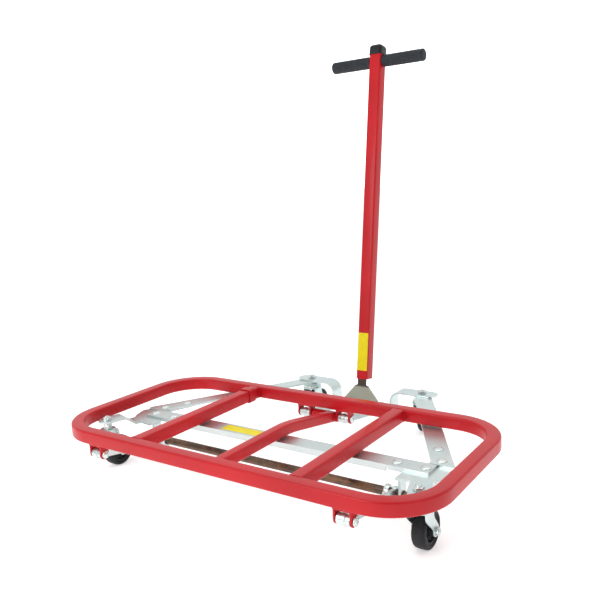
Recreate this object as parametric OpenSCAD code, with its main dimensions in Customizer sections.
// Lever-lift platform dolly: a bent-tube loop carried on parallel cranks over a flat-bar
// chassis with four swivel casters. Pulling the tall T handle back raises the loop level.

/* [Platform] */
// Length of the tube loop, left to right
loop_len = 960; // [900:10:1020]
// Width of the tube loop, front to back
loop_w = 480; // [470:5:500]
// Height of the loop's top face above the floor, lowered
loop_top = 142; // [140:1:150]
// Side of the square tube in the loop and the cross tubes
tube = 30; // [28:1:32]
// Wall of every square tube
wall = 2; // [1.5:0.5:2.5]
// Bend radius of the loop at the tube's centre line
bend_r = 110; // [90:5:120]
// Distance of each cross tube from the middle
cross_x = 212; // [195:1:225]
// Side of the bent centre bar
centre_bar_w = 25; // [22:1:25]

/* [Linkage] */
// Horizontal reach of every crank, lowered
crank_reach = 193; // [190:1:205]
// Rise of every crank from shaft to pin, lowered
crank_rise = 32; // [28:1:34]
// Height of both crank shafts above the floor
shaft_z = 58; // [56:1:60]
// Distance of the front cranks from the middle
front_crank_x = 324; // [322:1:326]
// Distance of the rear cranks from the middle
rear_crank_x = 57; // [54:1:60]
// Radius of the front cross shaft
shaft_r = 9; // [8:0.5:10]
// Radius of the crank pins
pin_r = 6; // [5:0.5:7]
// Radial running clearance of pins and shafts
clearance = 0.06; // [0.04:0.01:0.08]

/* [Handle] */
// Lean of the handle behind upright, lowered
lean = 9; // [6:1:12]
// Length of the handle from pivot to top
handle_len = 984; // [900:4:1050]
// Side of the square handle tube
handle_tube_w = 34; // [32:1:35]
// Length of the T bar with its grips
grip_span = 276; // [260:2:300]

/* [Casters] */
// Distance of the front casters from the middle
front_caster_x = 416; // [410:1:418]
// Front casters' place ahead of the loop's centre line
front_caster_y = -121; // [-125:1:-110]
// Distance of the rear casters from the middle
rear_caster_x = 173; // [170:1:180]
// Wheel radius
wheel_r = 37.5; // [36:0.5:38]
// Width of the tyre
tyre_w = 28; // [24:1:30]
// Distance of the axle behind the swivel axis
trail = 25; // [20:1:28]

/* [Hidden] */
$fn = 48;
bar_w = 44;             // flat bar of the chassis
bar_t = 5;
plate_z = 98;           // underside of the corner plates
bar_z = plate_z + bar_t;
arm_lift = 19;          // rise of a corner plate's caster arm
race_top = 100;         // top of the casters' fixed races
tube_z = loop_top - tube / 2;
loop_bottom = loop_top - tube;
pin_y = loop_w / 2 - tube / 2;
pin_z = shaft_z + crank_rise;
front_shaft_y = crank_reach - pin_y;
rear_shaft_y = crank_reach + pin_y;
rear_caster_y = rear_shaft_y + 10;
cross_bar_y = front_shaft_y + 35;
crank_t = 8;
crank_w = 22;
eye_r = 12.5;
eye_len = 28;
lug_gap = 30;
lug_t = 4;
lug_drop = 11;
pivot_r = 8;
pivot_tube_r = 12;
pivot_tube_l = 173;
leg_x = 87;             // inner face of a rear arch's leg
hanger_x = 336;         // inner face of a shaft hanger
arch_bend = 25;
foot_z = shaft_z - 18;  // lower end of the arches' legs
cap_w = handle_tube_w + 4;
grip_r = 16;
t_bar_r = 11;
t_bar_w = handle_len - 27 - grip_r - 1;
cap_from = handle_len - 27;
foot_top = 74;          // the handle tube starts this far above the pivot
fork_z = 85;
fork_t = 4;
race_r = 26;
axle_r = 5;
hub_w = 36;
leg_t = 3;
leg_in = hub_w / 2 + 0.3;
kingpin_r = 6;
diag_front = [396, 34];
diag_rear = [rear_caster_x, rear_caster_y];
diag_turn = atan2(diag_front[1] - diag_rear[1], diag_front[0] - diag_rear[0]);
caster_arm_from = [380, 0];
reach_y = rear_shaft_y + handle_len * sin(lean) + cap_w / 2 * cos(lean);
// The origin is on the floor, under the middle of the whole dolly
loop_y = (loop_w / 2 - reach_y) / 2;

// ---- shared shapes ----

module on_floor() {
    translate([0, loop_y, 0]) children();
}

module soft_square(side, r) {
    square([side, side - 2 * r], center = true);
    square([side - 2 * r, side], center = true);
    for (sx = [-1, 1], sy = [-1, 1])
        translate([sx * (side / 2 - r), sy * (side / 2 - r)]) circle(r, $fn = 24);
}

// Outline of a square tube; a bore_only outline cuts its inside
module tube_outline(side, bore_only) {
    if (bore_only) soft_square(side - 2 * wall, 2.5);
    else soft_square(side, 4.5);
}

module along_x(from, to, r) {
    translate([from, 0, 0]) rotate([0, 90, 0]) cylinder(h = to - from, r = r);
}

module hex_along_x(from, to, across) {
    translate([from, 0, 0]) rotate([0, 90, 0])
        cylinder(h = to - from, r = across / sqrt(3), $fn = 6);
}

module upright_strip(length, profile_points, width) {
    rotate([90, 0, 0]) translate([0, 0, -width / 2])
        linear_extrude(width) polygon(profile_points);
}

// ---- platform ----

module loop_rim(bore_only) {
    half = [loop_len / 2 - tube / 2, loop_w / 2 - tube / 2];
    for (turn = [0, 180]) rotate(turn) {
        translate([-half[0] + bend_r, half[1], 0]) rotate([90, 0, 90])
            linear_extrude(2 * (half[0] - bend_r)) tube_outline(tube, bore_only);
        translate([half[0], -half[1] + bend_r, 0]) rotate([90, 0, 180])
            linear_extrude(2 * (half[1] - bend_r)) tube_outline(tube, bore_only);
        for (corner = [0, 1]) mirror([corner, 0, 0])
            translate([half[0] - bend_r, half[1] - bend_r, 0])
                rotate_extrude(angle = 90, $fn = 96)
                    translate([bend_r, 0]) tube_outline(tube, bore_only);
    }
}

module platform_loop() {
    color("firebrick") translate([0, 0, tube_z]) difference() {
        loop_rim(false);
        loop_rim(true);
        for (s = [-1, 1]) translate([s * (front_crank_x - 60), -pin_y, -tube])
            cylinder(h = tube, r = 2.5, $fn = 24);
    }
}

module cross_tube(side) {
    length = loop_w - 2 * tube;
    color("firebrick") translate([side * cross_x, length / 2, tube_z]) rotate([90, 0, 0])
        linear_extrude(length) difference() {
            tube_outline(tube, false);
            tube_outline(tube, true);
        }
}

// Level from the front rail, then bent down to a sleeve on the rear pin
module centre_bar() {
    bar_x = 20;
    bend_y = 30;
    half = centre_bar_w / 2;
    level_z = loop_bottom + half;
    drop_y = pin_y - bend_y;
    slope = atan2(level_z - pin_z, drop_y);
    run = drop_y / cos(slope);
    color("firebrick") {
        difference() {
            union() {
                translate([bar_x, bend_y, level_z]) rotate([90, 0, 0])
                    linear_extrude(pin_y + bend_y - tube / 2) soft_square(centre_bar_w, 4.5);
                translate([bar_x, bend_y, level_z]) rotate([-90 - slope, 0, 0])
                    linear_extrude(run) soft_square(centre_bar_w, 4.5);
                translate([0, pin_y, pin_z]) along_x(-34, 36, half);
                translate([bar_x, bend_y, level_z])
                    along_x(-half + 1, half - 1, half);
            }
            translate([0, pin_y, pin_z]) along_x(-40, 40, pin_r + clearance);
        }
    }
}

module cross_tube_collar() {
    strap = 3;
    outer = tube + 2 * strap;
    color("red") translate([-cross_x, pin_y - 34, tube_z]) rotate([90, 0, 0])
        linear_extrude(24) difference() {
            soft_square(outer, 7);
            soft_square(tube + 0.1, 4.5);
        }
}

module lug(x, y) {
    inner = lug_gap / 2;
    web = 3;
    color("firebrick") translate([x, y, 0]) difference() {
        union() {
            for (s = [0, 1]) mirror([s, 0, 0]) translate([inner, 0, 0]) {
                translate([0, -lug_drop, pin_z]) cube([lug_t, 2 * lug_drop, loop_bottom - pin_z]);
                translate([0, 0, pin_z]) along_x(0, lug_t, lug_drop);
            }
            translate([-inner - lug_t, -lug_drop, loop_bottom - web])
                cube([2 * (inner + lug_t), 2 * lug_drop, web]);
        }
        translate([0, 0, pin_z]) along_x(-tube, tube, pin_r + clearance);
    }
}

module headed_pin(from, to, y) {
    head = 4;
    color("silver") translate([0, y, pin_z]) {
        along_x(from - head, to + head, pin_r);
        for (x = [from - head - 0.2, to + 0.2]) along_x(x, x + head, pin_r + 3);
    }
}

// ---- cranks ----

// A flat crank from its shaft at the origin to its pin, with a barrel eye on the pin
module crank(bore_r) {
    pin = [-crank_reach, crank_rise];
    across = crank_w / 2 / norm(pin) * [crank_rise, crank_reach];
    color("silver") difference() {
        union() {
            translate([-crank_t / 2, 0, 0]) rotate([90, 0, 90]) linear_extrude(crank_t) {
                polygon([across, pin + across, pin - across, -across]);
                circle(bore_r + 5);
                translate(pin) circle(eye_r);
            }
            translate([0, pin[0], pin[1]]) along_x(-eye_len / 2, eye_len / 2, eye_r - 1.5);
        }
        along_x(-eye_len, eye_len, bore_r);
        translate([0, pin[0], pin[1]]) along_x(-eye_len, eye_len, pin_r + clearance);
    }
}

module front_crank(side) {
    translate([side * front_crank_x, front_shaft_y, shaft_z]) crank(shaft_r + 0.05);
}

module rear_crank(side) {
    translate([side * rear_crank_x, rear_shaft_y, shaft_z]) crank(pivot_tube_r + 0.05);
}

module cross_shaft() {
    half = hanger_x + bar_t + 4;
    color("dimgray") translate([0, front_shaft_y, shaft_z]) along_x(-half, half, shaft_r);
}

module shaft_collars() {
    color("silver") translate([0, front_shaft_y, shaft_z])
        for (s = [0, 1]) mirror([s, 0, 0]) difference() {
            along_x(302, 313, shaft_r + 6);
            along_x(300, 315, shaft_r + 0.05);
        }
}

// ---- handle ----

module in_handle() {
    translate([0, rear_shaft_y, shaft_z]) rotate([-lean, 0, 0]) children();
}

module pivot_tube() {
    half = pivot_tube_l / 2;
    color("silver") translate([0, rear_shaft_y, shaft_z]) difference() {
        along_x(-half, half, pivot_tube_r);
        along_x(-half - 1, half + 1, pivot_r + clearance);
    }
}

// Flared plate on the pivot tube's front, with a tongue up inside the handle tube's front wall
module foot_plate() {
    half = rear_crank_x - crank_t / 2 - 2;
    neck = handle_tube_w / 2 - 4.5;
    tongue = foot_top + 40;
    front = wall - handle_tube_w / 2;
    color("silver") in_handle() difference() {
        translate([0, front + bar_t, 0]) rotate([90, 0, 0]) linear_extrude(bar_t)
            polygon([[-half, -6], [half, -6], [half, 20], [neck + 7, foot_top - 18],
                     [neck, foot_top - 16], [neck, tongue], [-neck, tongue],
                     [-neck, foot_top - 16], [-neck - 7, foot_top - 18], [-half, 20]]);
        along_x(-half - 1, half + 1, pivot_tube_r + 0.05);
    }
}

module handle_tube() {
    color("firebrick") in_handle() difference() {
        translate([0, 0, foot_top + 1]) linear_extrude(handle_len - 5 - foot_top) difference() {
            tube_outline(handle_tube_w, false);
            tube_outline(handle_tube_w, true);
        }
        translate([0, 0, t_bar_w]) along_x(-tube, tube, t_bar_r + 0.05);
    }
}

module handle_t_bar() {
    half = grip_span / 2 - 4;
    color("dimgray") in_handle() translate([0, 0, t_bar_w]) difference() {
        along_x(-half, half, t_bar_r);
        along_x(-half - 1, half + 1, t_bar_r - wall);
    }
}

module grip(side) {
    from = handle_tube_w / 2 + 1;
    color("black") in_handle() translate([0, 0, t_bar_w]) mirror([side < 0 ? 1 : 0, 0, 0])
        difference() {
            along_x(from, grip_span / 2, grip_r);
            along_x(from - 1, grip_span / 2 - 3.5, t_bar_r + 0.05);
        }
}

module handle_cap() {
    color("black") in_handle() difference() {
        translate([0, 0, cap_from]) linear_extrude(handle_len - cap_from) soft_square(cap_w, 6);
        translate([0, 0, cap_from - 1]) linear_extrude(handle_len - cap_from - 2.9)
            soft_square(handle_tube_w + 0.1, 4.5);
    }
}

// ---- chassis ----

function diag_point(along) = diag_rear + along * [cos(diag_turn), sin(diag_turn)];
bar_rivets = [[312, cross_bar_y], [374, cross_bar_y]];
diag_rivets = [diag_point(375), diag_point(436)];

module rivet_holes(points) {
    for (p = points) translate([p[0], p[1], plate_z - 5])
        cylinder(h = 30, r = 5.05, $fn = 24);
}

// Flat bar with a lip turned down along its front edge between the corner plates
module cross_bar() {
    half = 388;
    lip_half = 296;
    lip = 9;
    front = cross_bar_y - bar_w / 2;
    color("silver") difference() {
        union() {
            translate([-half, front, bar_z]) cube([2 * half, bar_w, bar_t]);
            translate([-lip_half, front, bar_z - lip]) cube([2 * lip_half, bar_t, lip + 1]);
        }
        for (s = [0, 1]) mirror([s, 0, 0]) rivet_holes(bar_rivets);
    }
}

// Gusset under the bar ends, with an arm stepped up to the front caster
module corner_plate(side) {
    caster = [front_caster_x, front_caster_y];
    run = caster - caster_arm_from;
    length = norm(run);
    ramp_from = 60;
    ramp_to = 85;
    arm_w = 42;
    color("silver") mirror([side < 0 ? 1 : 0, 0, 0]) difference() {
        union() {
            translate([0, 0, plate_z]) linear_extrude(bar_t)
                polygon([[hanger_x, -58], [380, -50], [404, -50], [424, -18], [434, 14],
                         [376, 112], [340, 112], [366, 44], [352, 24], [300, 24], [300, -18],
                         [hanger_x, -18]]);
            translate([caster_arm_from[0], caster_arm_from[1], plate_z])
                rotate(atan2(run[1], run[0])) {
                    upright_strip(length, [
                        [0, 0], [ramp_from + 2, 0], [ramp_to + 2, arm_lift], [length, arm_lift],
                        [length, arm_lift + bar_t], [ramp_to, arm_lift + bar_t],
                        [ramp_from, bar_t], [0, bar_t]], arm_w);
                    translate([length, 0, arm_lift]) cylinder(h = bar_t, r = arm_w / 2);
                }
        }
        translate([caster[0], caster[1], plate_z]) cylinder(h = 40, r = kingpin_r + 0.05);
        rivet_holes(concat(bar_rivets, diag_rivets));
    }
}

module diagonal_bar(side) {
    across = bar_w / 2 * [-sin(diag_turn), cos(diag_turn)];
    cut_y = 27;
    near = diag_rear - across;
    far = diag_rear + across;
    slope = cos(diag_turn) / sin(diag_turn);
    color("silver") mirror([side < 0 ? 1 : 0, 0, 0]) difference() {
        union() {
            translate([0, 0, bar_z]) linear_extrude(bar_t)
                polygon([near, [near[0] + (cut_y - near[1]) * slope, cut_y],
                         [far[0] + (cut_y - far[1]) * slope, cut_y], far]);
            translate([diag_rear[0], diag_rear[1], bar_z]) cylinder(h = bar_t, r = bar_w / 2);
        }
        rivet_holes(diag_rivets);
        translate([diag_rear[0], diag_rear[1], bar_z - 1])
            cylinder(h = bar_t + 2, r = kingpin_r + 0.05);
    }
}

// Strip over the rear caster, curved down to a leg that holds the pivot rod
module rear_arch(side) {
    top = bar_z + bar_t;
    bend_x = leg_x + bar_t + arch_bend;
    end_x = rear_caster_x + 20;
    color("silver") mirror([side < 0 ? 1 : 0, 0, 0]) difference() {
        translate([0, rear_caster_y, 0]) {
            translate([bend_x, -bar_w / 2, top]) cube([end_x - bend_x, bar_w, bar_t]);
            translate([end_x, 0, top]) cylinder(h = bar_t, r = bar_w / 2);
            translate([bend_x, bar_w / 2, top - arch_bend]) rotate([90, 0, 0])
                rotate_extrude_quarter();
            translate([leg_x, -bar_w / 2, foot_z]) cube([bar_t, bar_w, top - arch_bend - foot_z]);
        }
        translate([rear_caster_x, rear_caster_y, top - 1])
            cylinder(h = bar_t + 2, r = kingpin_r + 0.05);
        translate([0, rear_shaft_y, shaft_z]) along_x(leg_x - 1, leg_x + bar_t + 1, pivot_r + 0.05);
    }
}

module rotate_extrude_quarter() {
    rotate(90) rotate_extrude(angle = 90, $fn = 64)
        translate([arch_bend, 0]) square([bar_t, bar_w]);
}

module shaft_hanger(side) {
    width = 26;
    color("silver") mirror([side < 0 ? 1 : 0, 0, 0]) translate([hanger_x, front_shaft_y, 0])
        difference() {
            union() {
                translate([0, -width / 2, shaft_z]) cube([bar_t, width, plate_z - shaft_z]);
                translate([0, 0, shaft_z]) along_x(0, bar_t, width / 2);
            }
            translate([0, 0, shaft_z]) along_x(-1, bar_t + 1, shaft_r + clearance);
        }
}

module rear_tie_bar() {
    half = leg_x + bar_t;
    color("silver") translate([-half, rear_caster_y - bar_w / 2, foot_z - bar_t])
        cube([2 * half, bar_w, bar_t]);
}

module pivot_rod() {
    half = leg_x + bar_t + 7;
    color("silver") translate([0, rear_shaft_y, shaft_z]) along_x(-half, half, pivot_r);
}

module pivot_nuts() {
    from = leg_x + bar_t;
    color("silver") translate([0, rear_shaft_y, shaft_z]) for (s = [0, 1])
        mirror([s, 0, 0]) difference() {
            hex_along_x(from, from + 6.5, 22);
            along_x(from - 1, from + 8, pivot_r + 0.05);
        }
}

module rivet(p) {
    head = 3;
    rim = 11.5;
    crown = 7;
    translate([p[0], p[1], plate_z]) {
        cylinder(h = 2 * bar_t, r = 5, $fn = 24);
        translate([0, 0, 2 * bar_t]) cylinder(h = head, r1 = rim, r2 = crown, $fn = 24);
        translate([0, 0, -head]) cylinder(h = head, r1 = crown, r2 = rim, $fn = 24);
    }
}

module plate_rivets() {
    color("silver") for (s = [0, 1]) mirror([s, 0, 0])
        for (p = concat(bar_rivets, diag_rivets)) rivet(p);
}

// Top nut of a kingpin, and for the front casters a tall nut under the arm
module kingpin_nut(at, from, height) {
    translate([at[0], at[1], from]) difference() {
        cylinder(h = height, r = 19 / sqrt(3), $fn = 6);
        translate([0, 0, -1]) cylinder(h = height + 2, r = kingpin_r + 0.05);
    }
}

module kingpin_nuts() {
    front = [front_caster_x, front_caster_y];
    rear = [rear_caster_x, rear_caster_y];
    arm_z = plate_z + arm_lift;
    nut = 7;
    color("silver") for (s = [0, 1]) mirror([s, 0, 0]) {
        kingpin_nut(front, race_top, arm_z - race_top);
        kingpin_nut(front, arm_z + bar_t, nut);
        kingpin_nut(rear, bar_z + 2 * bar_t, nut);
    }
}

// ---- casters ----

// Fixed race and kingpin; stem_top is the height the kingpin reaches
module caster_race(at, seat_z, stem_top) {
    race_z = fork_z + fork_t + 0.3;
    head_top = fork_z - 0.3;
    color("silver") translate([at[0], at[1], 0]) {
        translate([0, 0, race_z]) cylinder(h = 5, r = race_r);
        translate([0, 0, race_z + 5]) cylinder(h = race_top - race_z - 5, r1 = race_r, r2 = 19);
        translate([0, 0, race_top - 1]) cylinder(h = seat_z - race_top + 1, r = 12);
        translate([0, 0, head_top - 5]) cylinder(h = stem_top - head_top + 5, r = kingpin_r);
        translate([0, 0, head_top - 5]) cylinder(h = 5, r = 10);
    }
}

module caster_fork(at) {
    color("silver") translate([at[0], at[1], 0]) difference() {
        union() {
            translate([0, 0, fork_z]) cylinder(h = fork_t, r = race_r + 1);
            for (s = [0, 1]) mirror([s, 0, 0]) translate([leg_in, 0, 0]) {
                rotate([90, 0, 90]) linear_extrude(leg_t)
                    polygon([[-16, fork_z + 1], [-16, fork_z - 9], [trail - 11, wheel_r],
                             [trail + 11, wheel_r], [16, fork_z - 9], [16, fork_z + 1]]);
                translate([0, trail, wheel_r]) along_x(0, leg_t, 11);
            }
        }
        translate([0, 0, fork_z - 1]) cylinder(h = fork_t + 2, r = kingpin_r + clearance);
        translate([0, trail, wheel_r]) along_x(-tube, tube, axle_r + 0.05);
    }
}

module axle_bolt(at) {
    from = leg_in + leg_t;
    color("silver") translate([at[0], at[1] + trail, wheel_r]) {
        along_x(-from - 1, from + 8, axle_r);
        hex_along_x(from, from + 6, 15);
        hex_along_x(-from - 5, -from, 15);
    }
}

module wheel_hub(at) {
    half = hub_w / 2;
    color("dimgray") translate([at[0], at[1] + trail, wheel_r]) rotate([0, 90, 0])
        rotate_extrude() polygon([
            [axle_r + clearance, -half], [11, -half], [12, -7], [23, -5], [23, -12], [27, -12],
            [27, 12], [23, 12], [23, 5], [12, 7], [11, half], [axle_r + clearance, half]]);
}

module tyre(at) {
    shoulder = 5;
    half = tyre_w / 2;
    color("black") translate([at[0], at[1] + trail, wheel_r]) rotate([0, 90, 0])
        rotate_extrude($fn = 72) {
            translate([27.02, -half]) square([wheel_r - 27.02 - shoulder, tyre_w]);
            translate([27.02, -half + shoulder])
                square([wheel_r - 27.02, tyre_w - 2 * shoulder]);
            for (s = [-1, 1]) translate([wheel_r - shoulder, s * (half - shoulder)])
                circle(shoulder, $fn = 32);
        }
}

front_left = [-front_caster_x, front_caster_y];
front_right = [front_caster_x, front_caster_y];
rear_left = [-rear_caster_x, rear_caster_y];
rear_right = [rear_caster_x, rear_caster_y];
front_stem = plate_z + arm_lift + bar_t + 9;
rear_stem = bar_z + 2 * bar_t + 9;
pin_half = lug_gap / 2 + lug_t;

on_floor() platform_loop();
on_floor() cross_tube(-1);  // cross_tube_left
on_floor() cross_tube(1);  // cross_tube_right
on_floor() centre_bar();
on_floor() cross_tube_collar();
on_floor() lug(-front_crank_x, -pin_y);  // front_lug_left
on_floor() lug(front_crank_x, -pin_y);  // front_lug_right
on_floor() lug(-rear_crank_x, pin_y);  // rear_lug_left
on_floor() lug(rear_crank_x, pin_y);  // rear_lug_right
on_floor() headed_pin(-front_crank_x - pin_half, -front_crank_x + pin_half, -pin_y);  // front_pin_left
on_floor() headed_pin(front_crank_x - pin_half, front_crank_x + pin_half, -pin_y);  // front_pin_right
on_floor() headed_pin(-rear_crank_x - pin_half, rear_crank_x + pin_half, pin_y);  // rear_pin
on_floor() cross_shaft();
on_floor() front_crank(-1);  // front_crank_left
on_floor() front_crank(1);  // front_crank_right
on_floor() shaft_collars();
on_floor() pivot_tube();
on_floor() foot_plate();
on_floor() rear_crank(-1);  // rear_crank_left
on_floor() rear_crank(1);  // rear_crank_right
on_floor() handle_tube();
on_floor() handle_t_bar();
on_floor() grip(-1);  // grip_left
on_floor() grip(1);  // grip_right
on_floor() handle_cap();
on_floor() cross_bar();
on_floor() corner_plate(-1);  // corner_plate_left
on_floor() corner_plate(1);  // corner_plate_right
on_floor() diagonal_bar(-1);  // diagonal_bar_left
on_floor() diagonal_bar(1);  // diagonal_bar_right
on_floor() rear_arch(-1);  // rear_arch_left
on_floor() rear_arch(1);  // rear_arch_right
on_floor() shaft_hanger(-1);  // shaft_hanger_left
on_floor() shaft_hanger(1);  // shaft_hanger_right
on_floor() rear_tie_bar();
on_floor() pivot_rod();
on_floor() pivot_nuts();
on_floor() plate_rivets();
on_floor() kingpin_nuts();
on_floor() caster_race(front_left, race_top, front_stem);  // caster_race_fl
on_floor() caster_race(front_right, race_top, front_stem);  // caster_race_fr
on_floor() caster_race(rear_left, bar_z, rear_stem);  // caster_race_rl
on_floor() caster_race(rear_right, bar_z, rear_stem);  // caster_race_rr
on_floor() caster_fork(front_left);  // caster_fork_fl
on_floor() caster_fork(front_right);  // caster_fork_fr
on_floor() caster_fork(rear_left);  // caster_fork_rl
on_floor() caster_fork(rear_right);  // caster_fork_rr
on_floor() axle_bolt(front_left);  // axle_bolt_fl
on_floor() axle_bolt(front_right);  // axle_bolt_fr
on_floor() axle_bolt(rear_left);  // axle_bolt_rl
on_floor() axle_bolt(rear_right);  // axle_bolt_rr
on_floor() wheel_hub(front_left);  // wheel_hub_fl
on_floor() wheel_hub(front_right);  // wheel_hub_fr
on_floor() wheel_hub(rear_left);  // wheel_hub_rl
on_floor() wheel_hub(rear_right);  // wheel_hub_rr
on_floor() tyre(front_left);  // tyre_fl
on_floor() tyre(front_right);  // tyre_fr
on_floor() tyre(rear_left);  // tyre_rl
on_floor() tyre(rear_right);  // tyre_rr
